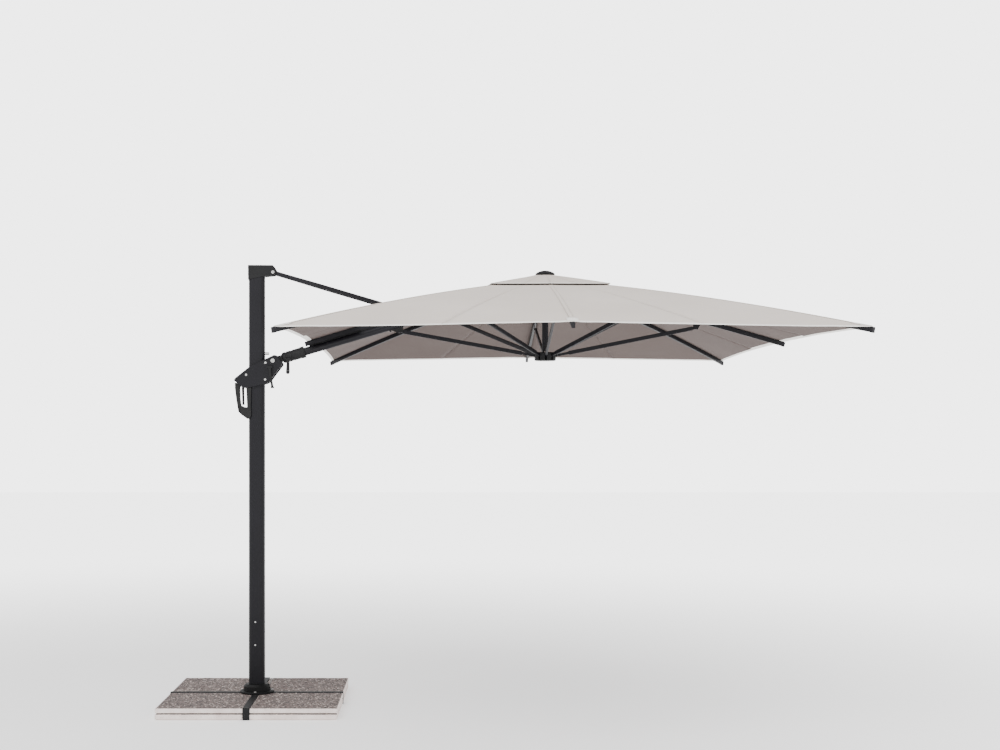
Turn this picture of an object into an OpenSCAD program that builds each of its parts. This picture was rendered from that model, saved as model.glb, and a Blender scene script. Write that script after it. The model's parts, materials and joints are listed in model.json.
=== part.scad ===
// Cantilever parasol with a rectangular eight-rib canopy, a sliding boom and a slab-weighted cross base.
// Frame: origin on the ground under the mast's centre, X along the boom, Z up, millimetres.

/* [Canopy] */
// Canopy size along X, corner to corner
canopy_x = 3000; // [2800:20:3100]
// Canopy size along Y, corner to corner
canopy_y = 4000; // [3600:20:4100]
// How far the middle ribs reach past the straight line between corners
mid_reach = 13; // [0:1:20]
// Inward curve of each hem between two rib tips
hem_dip = 35; // [20:5:100]
// Height of the rib pivots in the crown hub
crown_z = 2663; // [2660:1:2666]
// Droop of the rib at the free end of the canopy
end_droop = 14.85; // [14:0.05:15.5]
// Droop of the ribs that point along Y
side_droop = 11.5; // [11:0.1:12]
// Droop of the corner ribs
corner_droop = 9.8; // [9.5:0.1:10]
// Upward bow of a corner rib at its middle
corner_bow = 28; // [0:1:32]
// Height of the stretcher pivots in the lower hub
lower_z = 2203; // [2190:1:2215]
// Distance of the east rib's bracket from its pivot
east_bracket = 945; // [920:5:970]
// Cloth thickness
cloth = 2; // [1.5:0.5:4]

/* [Mast and boom] */
// Mast section along X
mast_x = 100; // [96:1:104]
// Mast section along Y
mast_y = 76; // [72:1:76]
// Top of the mast tube
mast_top = 2766; // [2764:1:2768]
// Distance of the boom and strut pivots in front of the mast's centre
pivot_x = 105; // [103:1:108]
// Height of the boom pivot with the canopy open
slider_z = 2171; // [2165:1:2175]
// Slope of the open boom
boom_angle = 16.5; // [16:0.1:17]
// Slope of everything that hangs from the hub when folded
folded_angle = 84; // [83:0.5:84]
// Length of the strut, and of the boom from its pivot to the strut
strut_len = 985; // [980:1:990]
// Boom pivot to crown hub
boom_len = 1782; // [1778:1:1786]
// How far the crown hub's pivot hangs below the boom's axis
hub_dip = 45; // [44:1:48]
// Outside diameter of the boom tube
boom_d = 51; // [50:0.5:51]

/* [Ribs] */
// Rib depth
rib_h = 28; // [26:1:28]
// Rib width
rib_w = 16; // [14:1:16]
// Stretcher depth
stay_h = 25; // [22:1:25]
// Stretcher width
stay_w = 14; // [12:1:14]

/* [Base] */
// Overall size of the slab base
base_size = 1094; // [1060:2:1120]
// Thickness of one slab
slab_t = 36; // [30:1:36]
// Width of the cross bars between the slabs
bar_w = 40; // [30:1:44]

/* [Hidden] */
$fn = 48;

ANTHRACITE = [0.17, 0.18, 0.2];
BLACK = [0.08, 0.08, 0.09];
STEEL = [0.7, 0.7, 0.72];
CONCRETE = [0.72, 0.69, 0.66];
CLOTH = [0.82, 0.8, 0.77];
gap = 0.5;      // gap between faces that pass each other
run = 0.05;     // radial running clearance of a pin

// slabs and cross
slab = (base_size - bar_w) / 2 - 3;
stack = 2 * slab_t;
cross_h = stack + 2;
table_r = 107;
table_h = 12;
foot_r = 84;
foot_z = cross_h + table_h + gap;
foot_h = 42;
spindle_r = 28;
mast_z = foot_z + 14;
mast_r = 24;
mast_wall = 2.5;

pivot_r = 52;
bracket_drop = 50;   // bracket pin below the middle of a bowed rib
mid_x = canopy_x / 2 + mid_reach;
mid_y = canopy_y / 2 + mid_reach;
// rib tips in plan, anticlockwise from +X
TIPS = [[mid_x, 0], [canopy_x / 2, canopy_y / 2], [0, mid_y], [-canopy_x / 2, canopy_y / 2],
    [-mid_x, 0], [-canopy_x / 2, -canopy_y / 2], [0, -mid_y], [canopy_x / 2, -canopy_y / 2]];
QUARTER_DROOP = [end_droop, corner_droop, side_droop, corner_droop];
DROOP = concat(QUARTER_DROOP, QUARTER_DROOP);
WEST = 4;
function azimuth(i) = atan2(TIPS[i].y, TIPS[i].x);
function rib_len(i) = (norm(TIPS[i]) - pivot_r) / cos(DROOP[i]);
// every rib is bowed to the same radius
bow_rate = 4 * corner_bow / pow(rib_len(1), 2);
function bow_at(i, x) = bow_rate * x * (rib_len(i) - x);
function rib_drop(i) = i % 4 == 2 ? even_drop(i) : bracket_drop - bow_at(i, east_bracket);

// linkage: the strut and the boom form an isosceles triangle with the mast
head_z = slider_z + 2 * strut_len * sin(boom_angle);
hub_x = pivot_x + boom_len * cos(boom_angle) + hub_dip * sin(boom_angle);
hub_z = slider_z + boom_len * sin(boom_angle) - hub_dip * cos(boom_angle);
hub_lift = crown_z - hub_z;
pin_r = 4;
boom_drop = 47;      // bracket pin below the boom's axis
open_drop = crown_z - lower_z;
east_drop = rib_drop(0);
east_reach = east_bracket * sin(folded_angle) + east_drop * cos(folded_angle);
east_open = 2 * open_drop * (east_bracket * sin(end_droop) + east_drop * cos(end_droop))
    - open_drop * open_drop;
// distance from the crown hub to the lower hub when folded
folded_drop = east_reach + sqrt(east_reach * east_reach - east_open);

// Bracket depth on the two side ribs, whose linkage has equal arms and so stays exact while it folds.
function even_angle(i) = let (swing = folded_angle - DROOP[i])
    atan(sin(swing) / (folded_drop / open_drop - cos(swing)));
function even_drop(i) = open_drop / 2 / sin(even_angle(i)) * sin(even_angle(i) - DROOP[i]);

// Distance of a bracket from its pivot so that its stretcher has one length both open and folded.
// a0, a1: rib angles; h0, h1: hub distances; d: bracket depth; p: pivot offset
function bracket_at(a0, a1, h0, h1, d, p) =
    (h1 * h1 - h0 * h0 - 2 * d * (p * (sin(a1) - sin(a0)) + h1 * cos(a1) - h0 * cos(a0)))
    / (2 * (p * (cos(a0) - cos(a1)) - h0 * sin(a0) + h1 * sin(a1)));
boom_bracket_at = boom_len - bracket_at(boom_angle, folded_angle, open_drop - hub_lift,
    folded_drop - hub_lift, boom_drop - hub_dip, -pivot_r);

function rib_bracket(i) =
    bracket_at(DROOP[i], folded_angle, open_drop, folded_drop, rib_drop(i), 0);
// bracket pin as [distance from the canopy's axis, height]
function pin_at(i) = i == WEST
    ? [hub_x - pivot_x - boom_bracket_at * cos(boom_angle) - boom_drop * sin(boom_angle),
       slider_z + boom_bracket_at * sin(boom_angle) - boom_drop * cos(boom_angle)]
    : [pivot_r + rib_bracket(i) * cos(DROOP[i]) - rib_drop(i) * sin(DROOP[i]),
       crown_z - rib_bracket(i) * sin(DROOP[i]) - rib_drop(i) * cos(DROOP[i])];
function stay_len(i) = norm(pin_at(i) - [pivot_r, lower_z]);
function stay_slope(i) = atan2(pin_at(i).y - lower_z, pin_at(i).x - pivot_r);

boom_r = boom_d / 2;
boom_bore = boom_r - 3.5;
collar_end = 206;
rail_v = 45;
rail_from = 230;
rail_to = 1430;
fork_root = 1560;
fork_y = 24.5;
fork_t = 6;
ring_r = boom_r + 4.7;
bar_out = 58;   // inner face of the strut bars at the boom
bar_in = 24;    // inner face of the strut bars in the head
bar_t = 6;
bar_h = 25;
plate_y = 42;   // inner face of the slider plates
plate_t = 12;
clamp_x = 87;
clamp_z = 2133;

// ---- helpers ----
module rounded(x, y, r) {
    square([x - 2 * r, y], center = true);
    square([x, y - 2 * r], center = true);
    for (i = [-1, 1], j = [-1, 1]) translate([i * (x / 2 - r), j * (y / 2 - r)]) circle(r);
}
// upright profile section
// plate cut from an outline in X and Z, between two Y values
module plate_y(y0, y1) translate([0, y1, 0]) rotate([90, 0, 0]) linear_extrude(y1 - y0) children();
module pin_y(r, y0, y1) translate([0, y1, 0]) rotate([90, 0, 0]) cylinder(h = y1 - y0, r = r);
module rod_x(r, x0, x1) translate([x0, 0, 0]) rotate([0, 90, 0]) cylinder(h = x1 - x0, r = r);
// rectangular bar along X with rounded long edges
module bar_x(w, h, r, x0, x1)
    translate([x0, 0, 0]) rotate([0, 90, 0]) linear_extrude(x1 - x0) rounded(h, w, r);
module box_x(w, h, r, wall, x0, x1) difference() {
    bar_x(w, h, r, x0, x1);
    bar_x(w - 2 * wall, h - 2 * wall, max(0.4, r - wall), x0 - 1, x1 + 1);
}
module both_sides() for (s = [0, 1]) mirror([0, s, 0]) children();
// hollow rib along X from x0 to x1, part of an arc over a chord of the given length
module bowed_x(w, h, r, wall, len, bow, x0, x1) {
    big = (len * len / 4 + bow * bow) / (2 * bow);
    from = asin((x0 - len / 2) / big);
    to = asin((x1 - len / 2) / big);
    translate([len / 2, 0, bow - big]) rotate([90, 0, 0]) rotate([0, 0, 90 - to])
        rotate_extrude(angle = to - from, $fn = 1500) translate([big, 0]) difference() {
            rounded(h, w, r, $fn = 24);
            rounded(h - 2 * wall, w - 2 * wall, max(0.4, r - wall), $fn = 24);
        }
}
module bolt_y(r, head_r, y0, y1) {
    pin_y(r, y0, y1);
    pin_y(head_r, y0 - 5, y0);
    pin_y(head_r, y1, y1 + 5);
}
module at_boom() translate([pivot_x, 0, slider_z]) rotate([0, -boom_angle, 0]) children();
module at_strut() translate([pivot_x, 0, head_z]) rotate([0, boom_angle, 0]) children();
module at_hub() translate([hub_x, 0, 0]) children();
module at_rib(i) at_hub()
    rotate(azimuth(i)) translate([pivot_r, 0, crown_z]) rotate([0, DROOP[i], 0]) children();
module at_stay(i) at_hub() rotate(azimuth(i)) translate([pivot_r, 0, lower_z])
    rotate([0, -stay_slope(i), 0]) children();

// ---- base ----
module cross_base() color(BLACK) difference() {
    for (a = [0, 90]) rotate(a)
        translate([-base_size / 2 + 3, -bar_w / 2, 0]) cube([base_size - 6, bar_w, cross_h]);
    // the four arms are hollow, and solid where they meet under the mast
    for (a = [0 : 90 : 270]) rotate(a)
        translate([bar_w, -bar_w / 2 + 3, 3]) cube([base_size, bar_w - 6, cross_h - 6]);
}
module cross_end_caps() color(BLACK) for (a = [0 : 90 : 270]) rotate(a)
    translate([base_size / 2 - 3, 0, cross_h / 2]) bar_x(bar_w, cross_h, 4, 0, 3);
module one_slab() {
    bevel = 3;
    linear_extrude(slab_t - bevel) square(slab, center = true);
    translate([0, 0, slab_t - bevel]) linear_extrude(bevel, scale = (slab - 2 * bevel) / slab)
        square(slab, center = true);
}
module slab_layer(z, shift) color(CONCRETE) for (i = [-1, 1], j = [-1, 1])
    translate([i * ((bar_w + slab) / 2 + 1.5) + shift, j * ((bar_w + slab) / 2 + 1.5), z]) one_slab();
module slabs_lower() slab_layer(0, 0);
module slabs_upper() slab_layer(slab_t, 1);
module turntable() color(BLACK) {
    translate([0, 0, cross_h]) rotate_extrude($fn = 96)
        polygon([[0, 0], [table_r, 0], [table_r, table_h - 4], [table_r - 4, table_h], [0, table_h]]);
    translate([0, 0, cross_h + table_h]) cylinder(h = 84, r = spindle_r);
}
module turntable_bolts() color(STEEL) for (a = [0 : 90 : 270]) rotate(a)
    translate([96, 0, cross_h + table_h]) cylinder(h = 7, r = 7.5, $fn = 6);

// ---- mast ----
module mast_section() rounded(mast_x, mast_y, mast_r);
module mast_foot() color(BLACK) difference() {
    translate([0, 0, foot_z]) rotate_extrude($fn = 96)
        polygon([[spindle_r + run, 0], [foot_r, 0], [foot_r, foot_h - 14], [foot_r - 14, foot_h],
            [spindle_r + run, foot_h]]);
    translate([0, 0, mast_z]) linear_extrude(foot_h) mast_section();
    translate([foot_r - 14, -18, foot_z + 10]) cube([30, 36, foot_h]);
}
module mast_tube() color(ANTHRACITE) difference() {
    translate([0, 0, mast_z]) linear_extrude(mast_top - mast_z) mast_section();
    translate([0, 0, mast_z - 1]) linear_extrude(mast_top - mast_z + 2)
        rounded(mast_x - 2 * mast_wall, mast_y - 2 * mast_wall, mast_r - mast_wall);
}
module head_outline() polygon([[-52, 2684], [39, 2704], [112, 2711], [123, 2722], [123, 2745],
    [105, 2775], [-49, 2776], [-53, 2772]]);
module mast_head() color(BLACK) difference() {
    plate_y(-mast_y / 2 - 4, mast_y / 2 + 4) head_outline();
    translate([0, 0, 2600]) linear_extrude(mast_top - 2600) mast_section();
    translate([mast_x / 2 + 6, -bar_in - bar_t - 1, 2600]) cube([200, 2 * (bar_in + bar_t + 1), 300]);
    translate([pivot_x, 0, head_z]) pin_y(6, -60, 60);
}
module head_bolt() color(STEEL)
    translate([pivot_x, 0, head_z]) bolt_y(6, 10, -mast_y / 2 - 4, mast_y / 2 + 4);
module mast_fittings() color(STEEL) {
    translate([0, 0, 2218]) rod_x(9, mast_x / 2, mast_x / 2 + 27);
    for (z = [376, 521]) translate([-6, 0, z]) pin_y(5, -mast_y / 2 - 3, -mast_y / 2);
}
module foot_lock_loop() color(STEEL) translate([foot_r - 6, 0, foot_z + 22]) rotate([0, 20, 0]) {
    pin_y(3, -17.5, 17.5);
    for (s = [-1, 1]) translate([0, s * 12, 0]) cylinder(h = 50, r = 3);
    translate([0, 0, 50]) pin_y(3, -15, 15);
}

// ---- strut ----
module bar_plan() polygon([[0, bar_in], [110, bar_in], [300, bar_out], [strut_len, bar_out],
    [strut_len, bar_out + bar_t], [298, bar_out + bar_t], [108, bar_in + bar_t], [0, bar_in + bar_t]]);
module strut() color(ANTHRACITE) at_strut() both_sides() difference() {
    union() {
        translate([0, 0, -bar_h / 2]) linear_extrude(bar_h) bar_plan();
        pin_y(bar_h / 2, bar_in, bar_in + bar_t);
        translate([strut_len, 0, 0]) pin_y(bar_h / 2, bar_out, bar_out + bar_t);
        translate([80, 0, 0]) pin_y(7, 0, bar_in);
    }
    pin_y(6 + run, 0, 100);
    translate([strut_len, 0, 0]) pin_y(7 + run, 0, 100);
}
module strut_ring() color(BLACK) at_boom() translate([strut_len, 0, 0]) difference() {
    union() {
        rod_x(ring_r, -20, 20);
        both_sides() pin_y(12, ring_r - 6, bar_out - gap);
        both_sides() pin_y(7, 20, bar_out + bar_t + 3);
        both_sides() pin_y(11, bar_out + bar_t + gap, bar_out + bar_t + 5);
    }
    rod_x(boom_r + run, -30, 30);
}

// ---- knuckle and collar at the boom's lower end ----
module boom_knuckle() color(BLACK) at_boom() difference() {
    union() {
        pin_y(24, -plate_y + gap, plate_y - gap);
        translate([0, -28, -21]) cube([70, 56, 42]);
        rotate([90, 0, 90]) rotate_extrude() polygon([[0, 60], [28, 60], [34.5, 68], [34.5, 84], [32.5, 86],
            [32.5, 92], [34.5, 94], [34.5, 120], [32.5, 122], [32.5, 128], [34.5, 130], [34.5, 176],
            [37, 186], [37, collar_end], [boom_bore - run, collar_end], [boom_bore - run, 420], [0, 420]]);
        translate([95, 0, -20]) pin_y(13, -36, 0);
    }
    pin_y(8 + run, -60, 60);
}
module tilt_lock_lever() color(BLACK) at_boom() translate([95, 0, -20]) difference() {
    union() {
        rotate([0, boom_angle, 0]) {
            pin_y(12, -50, -37);
            plate_y(-50, -40) polygon([[-8, 0], [8, 0], [10, -84], [4, -92], [-8, -92], [-14, -84]]);
        }
    }
    pin_y(5, -60, -48);
}

// ---- slider ----
module slider_outline() polygon([[112, 2207], [128, 2205], [162, 2158], [164, 2146], [102, 2064], [84, 2038],
    [62, 2026], [-27, 2006], [-78, 1998], [-141, 2047], [-132, 2062], [-46, 2130]]);
module slider_plate(s) color(ANTHRACITE) difference() {
    plate_y(min(s * plate_y, s * (plate_y + plate_t)), max(s * plate_y, s * (plate_y + plate_t)))
        slider_outline();
    translate([pivot_x, 0, slider_z]) pin_y(8, -100, 100);
}
module slider_plate_near() slider_plate(-1);
module slider_plate_far() slider_plate(1);
module slider_sleeve() color(BLACK) difference() {
    plate_y(-plate_y, plate_y) polygon([[66, 2032], [66, 2128], [-62, 2118], [-66, 2112], [-66, 2032]]);
    translate([0, 0, 1900]) linear_extrude(400) rounded(mast_x + 6, mast_y + 4, mast_r + 1);
}
module slider_glides() color(STEEL) for (z = [2034, 2092])
    translate([0, 0, z]) linear_extrude(18) difference() {
        rounded(mast_x + 6, mast_y + 4, mast_r + 1);
        rounded(mast_x + 2 * gap, mast_y + 2 * gap, mast_r + gap);
    }
module slider_grip() color(BLACK) {
    // hand bar
    plate_y(-20, 20) polygon([[-139, 2032], [-138, 2000], [-128, 1920], [-116, 1850], [-104, 1838],
        [-56, 1804], [-54, 1806], [-54, 1877], [-86, 1880], [-100, 1888], [-106, 1930], [-108, 2004],
        [-94, 2014], [-94, 2032]]);
    // inner bar beside the mast, which closes the finger window
    plate_y(-16, 16) polygon([[-58, 1870], [-58, 1992], [-64, 2014], [-98, 2014], [-98, 2032], [-53, 2032],
        [-53, 1870]]);
    // foot, and the cheeks that pass on each side of the mast
    plate_y(-48, 48) polygon([[-98, 1834], [-56, 1804], [-54, 1806], [-54, 1877], [-86, 1880], [-97, 1886]]);
    both_sides() plate_y(40, 48) polygon([[-57, 1805], [-38, 1812], [-31, 1829], [-34, 1876], [-32, 2003],
        [-62, 1999], [-57, 1877]]);
}
module slider_bolts() color(STEEL) {
    translate([pivot_x, 0, slider_z]) bolt_y(8, 13, -plate_y - plate_t, plate_y + plate_t);
    for (s = [0, 1], b = [[60, 2158], [58, 2052], [-62, 2082]]) mirror([0, s, 0])
        translate([b.x, 0, b.y]) pin_y(7, plate_y + plate_t, plate_y + plate_t + 4);
}
module release_trigger() color(BLACK)
    plate_y(-9, 9) polygon([[-96, 2006], [-82, 2006], [-80, 1892], [-92, 1892]]);
module clamp_lever() color(BLACK) translate([clamp_x, -plate_y - plate_t, clamp_z]) {
    pin_y(9, -14, -gap);
    pin_y(5, -18, -14);
    plate_y(-18, -10) polygon([[-9, -4], [9, -4], [12, -60], [24, -122], [31, -136], [7, -136], [9, -122],
        [0, -60]]);
    translate([-17, -19, -9]) cube([34, 10, 14]);
}

// ---- boom ----
module boom_tube() color(ANTHRACITE) at_boom() difference() {
    rod_x(boom_r, collar_end + 2, fork_root);
    rod_x(boom_bore, collar_end, fork_root + 1);
}
module boom_fork() color(ANTHRACITE) at_boom() {
    rod_x(boom_bore, fork_root - 60, fork_root);
    translate([fork_root, -fork_y - fork_t, -20]) cube([20, 2 * (fork_y + fork_t), 40]);
    both_sides() difference() {
        union() {
            plate_y(fork_y, fork_y + fork_t) polygon([[fork_root + 20, 14], [boom_len, 12 - hub_dip],
                [boom_len, -12 - hub_dip], [fork_root + 20, -16]]);
            translate([boom_len, 0, -hub_dip]) pin_y(12, fork_y, fork_y + fork_t);
        }
        translate([boom_len, 0, -hub_dip]) pin_y(6 + run, 0, 60);
    }
}
module boom_rail() color(ANTHRACITE) at_boom() {
    translate([0, 0, rail_v]) box_x(rib_w, rib_h, 3, 1.8, rail_from, rail_to);
    translate([0, 0, rail_v]) bar_x(rib_w + 3, rib_h + 2, 4, rail_from - 8, rail_from);
    // saddles carry the rail on the boom
    for (u = [330, 640, 1150]) difference() {
        translate([u - 14, -7, 20]) cube([28, 14, rail_v - rib_h / 2 - 20]);
        rod_x(boom_r, u - 30, u + 30);
    }
}
module boom_bracket() color(BLACK) at_boom() {
    translate([boom_bracket_at, 0, 0]) difference() {
        union() {
            both_sides() plate_y(9, 12)
                polygon([[-72, -10], [32, -10], [14, -boom_drop - 10], [-10, -boom_drop - 10]]);
            both_sides() plate_y(0, 12) polygon([[-72, -10], [-60, -10], [-52, -34], [-62, -34]]);
            translate([0, 0, -boom_drop]) pin_y(pin_r, -14, 14);
        }
        rod_x(boom_r, -200, 200);
    }
    // rings that keep the strut ring in place along the boom
    for (u = [strut_len - 30, strut_len + 22]) difference() {
        rod_x(boom_r + 4, u, u + 8);
        rod_x(boom_r, u - 1, u + 9);
    }
}

// ---- hubs ----
module hub_slots(z0, z1, r0, w) for (i = [0 : 7]) if (i != WEST || r0 < 30)
    rotate(azimuth(i)) translate([r0, -w / 2, z0]) cube([100, w, z1 - z0]);
module hub_pins(z) for (i = [0 : 7]) if (i != WEST) rotate(azimuth(i))
    translate([pivot_r, 0, z]) pin_y(pin_r, -8, 8);
module crown_hub() color(BLACK) at_hub() {
    difference() {
        translate([0, 0, crown_z - 10]) cylinder(h = 23, r = 68, $fn = 96);
        hub_slots(crown_z - 11, crown_z + 20, 34, 12);
    }
    hub_pins(crown_z);
    translate([-16, -fork_y + gap, hub_z - 20]) cube([32, 2 * (fork_y - gap), crown_z - 10 - hub_z + 20]);
    translate([0, 0, hub_z]) pin_y(6, -fork_y - fork_t - 2, fork_y + fork_t + 2);
}
module central_tube() color(ANTHRACITE) at_hub() translate([0, 0, lower_z + 32]) difference() {
    cylinder(h = hub_z - 20 - lower_z - 32, r = 20);
    translate([0, 0, -1]) cylinder(h = hub_z, r = 18);
}
module crown_cap() color(BLACK) at_hub() translate([0, 0, crown_z + 13]) rotate_extrude()
    polygon([[0, 0], [24, 0], [24, 40], [62, 42], [62, 58], [54, 64], [0, 68]]);
module lower_hub() color(BLACK) at_hub() {
    difference() {
        translate([0, 0, lower_z - 31]) rotate_extrude($fn = 96)
            polygon([[0, 0], [62, 0], [68, 5], [68, 49], [64, 53], [0, 53]]);
        hub_slots(lower_z - 28, lower_z + 23, 11, 12);
    }
    rotate(azimuth(2)) translate([pivot_r, 0, lower_z]) pin_y(pin_r, -7, 7);
}

// ---- ribs and stretchers ----
module rib(i) color(ANTHRACITE) at_rib(i) {
    len = rib_len(i);
    bow = bow_at(i, len / 2);
    lean = atan(bow_rate * len);
    // hub end fitting
    plate_y(-5, 5) difference() {
        union() {
            circle(9);
            rotate(lean) translate([0, -8]) square([58, 16]);
        }
        circle(pin_r + run);
    }
    rotate([0, -lean, 0]) bar_x(rib_w + 3, rib_h + 3, 3, 56, 84);
    bowed_x(rib_w, rib_h, 3, 1.8, len, bow, 84 + gap, len - 12 - gap);
    // tip cap
    translate([len, 0, 0]) rotate([0, lean, 0]) bar_x(rib_w + 3, rib_h + 2, 4, -12, 5);
    translate([rib_bracket(i), 0, 0]) {
        top = bow_at(i, rib_bracket(i));
        both_sides() plate_y(rib_w / 2 + 0.2, rib_w / 2 + 3.2) polygon([[-32, top + 8], [32, top + 8],
            [26, top - 8], [13, -rib_drop(i) - 9], [-13, -rib_drop(i) - 9], [-26, top - 8]]);
        translate([0, 0, -rib_drop(i)]) pin_y(pin_r, -rib_w / 2 - 3, rib_w / 2 + 3);
    }
}
module stretcher(i) color(ANTHRACITE) at_stay(i) {
    len = stay_len(i);
    tongue = i % 4 == 0 ? 104 : 64;
    difference() {
        union() {
            pin_y(8, -5, 5);
            translate([0, -5, -8]) cube([tongue, 10, 16]);
            bar_x(stay_w - 3.6, stay_h - 3.6, 1.2, tongue - 6, tongue + 36);
        }
        pin_y(pin_r + run, -10, 10);
    }
    box_x(stay_w, stay_h, 3, 1.8, tongue - 4, len - 22);
    difference() {
        union() {
            bar_x(stay_w - 3.6, stay_h - 3.6, 1.2, len - 60, len - 22);
            translate([len - 22, -6, -9]) cube([22, 12, 18]);
            translate([len, 0, 0]) pin_y(9, -6, 6);
        }
        translate([len, 0, 0]) pin_y(pin_r + run, -10, 10);
    }
}
module rib_e() rib(0);
module rib_ne() rib(1);
module rib_n() rib(2);
module rib_nw() rib(3);
module rib_sw() rib(5);
module rib_s() rib(6);
module rib_se() rib(7);
module stretcher_e() stretcher(0);
module stretcher_ne() stretcher(1);
module stretcher_n() stretcher(2);
module stretcher_nw() stretcher(3);
module stretcher_w() stretcher(4);
module stretcher_sw() stretcher(5);
module stretcher_s() stretcher(6);
module stretcher_se() stretcher(7);

// ---- canopy ----
panel_from = 0.17;
vent_from = 0.03;
vent_to = 0.24;
vent_lift = 14;
PANEL_ROWS = [panel_from, 0.35, 0.55, 0.78, 1];
WEST_ROWS = [panel_from, 0.23, 0.35, 0.55, 0.78, 1];   // with one at the rail's end
VENT_ROWS = [vent_from, 0.13, vent_to];
cloth_room = 4;   // over the ribs, for their caps and bow
cloth_rise = rib_h / 2 + gap + cloth_room + cloth;
// height of the cloth's upper face over a rib, at a distance r from the canopy's axis
function end_ridge(i, r) = crown_z - (r - pivot_r) * tan(DROOP[i])
    + bow_at(i, (r - pivot_r) / cos(DROOP[i])) + cloth_rise / cos(DROOP[i]);
rail_end_r = hub_x - pivot_x - rail_to * cos(boom_angle);
function boom_ridge(r) = slider_z + (hub_x - pivot_x - r) * tan(boom_angle)
    + (rail_v + cloth_rise) / cos(boom_angle);
function ridge(i, r) = i != WEST ? end_ridge(i, r)
    : r > rail_end_r ? boom_ridge(r)
    : end_ridge(0, 0) + (boom_ridge(rail_end_r) - end_ridge(0, 0)) * r / rail_end_r;
// point on rib i at a share f of the way out
function on_ridge(i, f, lift) = [TIPS[i].x * f, TIPS[i].y * f, ridge(i, norm(TIPS[i]) * f) + lift];
// point midway between ribs i and j; the dip pulls the hem inward
function on_seam(i, j, f, lift, dip) = let (middle = norm(TIPS[i] + TIPS[j]) / 2, k = f * (1 - dip / middle))
    (on_ridge(i, k, lift) + on_ridge(j, k, lift)) / 2;
function toward(a, b, share) = a + (b - a) * share;
module cloth_piece(i, rows, lift0, lift1, dip) {
    next = (i + 1) % 8;
    last = (i + 7) % 8;
    n = len(rows);
    function lift(k) = lift0 + (lift1 - lift0) * k / (n - 1);
    // three points a row: seam, rib, seam; the pieces stop just short of each other
    top = [for (k = [0 : n - 1]) let (mid = on_ridge(i, rows[k], lift(k))) each [
        toward(mid, on_seam(last, i, rows[k], lift(k), dip), 0.998), mid,
        toward(mid, on_seam(i, next, rows[k], lift(k), dip), 0.998)]];
    m = 3 * n;
    points = concat(top, [for (p = top) p - [0, 0, cloth]]);
    quads = [for (k = [0 : n - 2], c = [0, 1]) let (a = 3 * k + c) [a, a + 3, a + 4, a + 1]];
    top_faces = [for (q = quads) each [[q[0], q[2], q[1]], [q[0], q[3], q[2]]]];
    low_faces = [for (f = top_faces) [f[2] + m, f[1] + m, f[0] + m]];
    rim = concat([0, 1, 2], [for (k = [1 : n - 1]) 3 * k + 2], [m - 2], [for (k = [n - 1 : -1 : 1]) 3 * k]);
    r = len(rim);
    walls = [for (k = [0 : r - 1]) let (a = rim[k], b = rim[(k + 1) % r])
        each [[a, b, b + m], [a, b + m, a + m]]];
    polyhedron(points, concat(top_faces, low_faces, [for (w = walls) [w[2], w[1], w[0]]]));
}
module panel(i) color(CLOTH) at_hub() {
    cloth_piece(i, i == WEST ? WEST_ROWS : PANEL_ROWS, 0, 0, hem_dip);
    cloth_piece(i, VENT_ROWS, 5, vent_lift, 12);
}
module panel_e() panel(0);
module panel_ne() panel(1);
module panel_n() panel(2);
module panel_nw() panel(3);
// the boom's panel has an opening on each side of its rail for the strut
module panel_w() difference() {
    panel(4);
    both_sides() translate([735, 20, 2300]) cube([235, 120, 300]);
}
module panel_sw() panel(5);
module panel_s() panel(6);
module panel_se() panel(7);

cross_base();
cross_end_caps();
slabs_lower();
slabs_upper();
turntable();
turntable_bolts();
mast_foot();
mast_tube();
mast_head();
head_bolt();
mast_fittings();
foot_lock_loop();
strut();
strut_ring();
boom_knuckle();
tilt_lock_lever();
slider_plate_near();
slider_plate_far();
slider_sleeve();
slider_glides();
slider_grip();
slider_bolts();
release_trigger();
clamp_lever();
boom_tube();
boom_fork();
boom_rail();
boom_bracket();
crown_hub();
central_tube();
crown_cap();
lower_hub();
rib_e();
rib_ne();
rib_n();
rib_nw();
rib_sw();
rib_s();
rib_se();
stretcher_e();
stretcher_ne();
stretcher_n();
stretcher_nw();
stretcher_w();
stretcher_sw();
stretcher_s();
stretcher_se();
panel_e();
panel_ne();
panel_n();
panel_nw();
panel_w();
panel_sw();
panel_s();
panel_se();
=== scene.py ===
# Cantilever parasol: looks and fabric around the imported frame. Metres, row frame, +Z up.
import json
import math

import bpy
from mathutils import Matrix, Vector, noise


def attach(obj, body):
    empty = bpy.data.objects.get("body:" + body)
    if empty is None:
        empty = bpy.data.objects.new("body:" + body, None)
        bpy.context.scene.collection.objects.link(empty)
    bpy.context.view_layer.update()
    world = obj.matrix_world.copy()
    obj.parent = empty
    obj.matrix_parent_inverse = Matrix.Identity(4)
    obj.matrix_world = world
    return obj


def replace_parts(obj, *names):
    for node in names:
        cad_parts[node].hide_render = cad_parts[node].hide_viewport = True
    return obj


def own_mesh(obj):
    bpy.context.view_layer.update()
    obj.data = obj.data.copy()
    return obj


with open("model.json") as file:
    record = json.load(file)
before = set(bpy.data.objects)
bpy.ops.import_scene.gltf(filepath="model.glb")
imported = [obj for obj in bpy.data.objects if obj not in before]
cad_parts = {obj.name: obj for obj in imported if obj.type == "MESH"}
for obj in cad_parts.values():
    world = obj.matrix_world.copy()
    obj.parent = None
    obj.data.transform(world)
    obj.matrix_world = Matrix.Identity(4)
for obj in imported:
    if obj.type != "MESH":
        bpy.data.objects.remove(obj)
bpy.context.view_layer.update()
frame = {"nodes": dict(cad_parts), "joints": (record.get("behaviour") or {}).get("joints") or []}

# ---------------------------------------------------------------- driving sizes
JOINT = {j["name"]: j for j in frame["joints"]}
COMPASS = ["e", "ne", "n", "nw", "w", "sw", "s", "se"]
EAST, WEST = 0, 4

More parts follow.
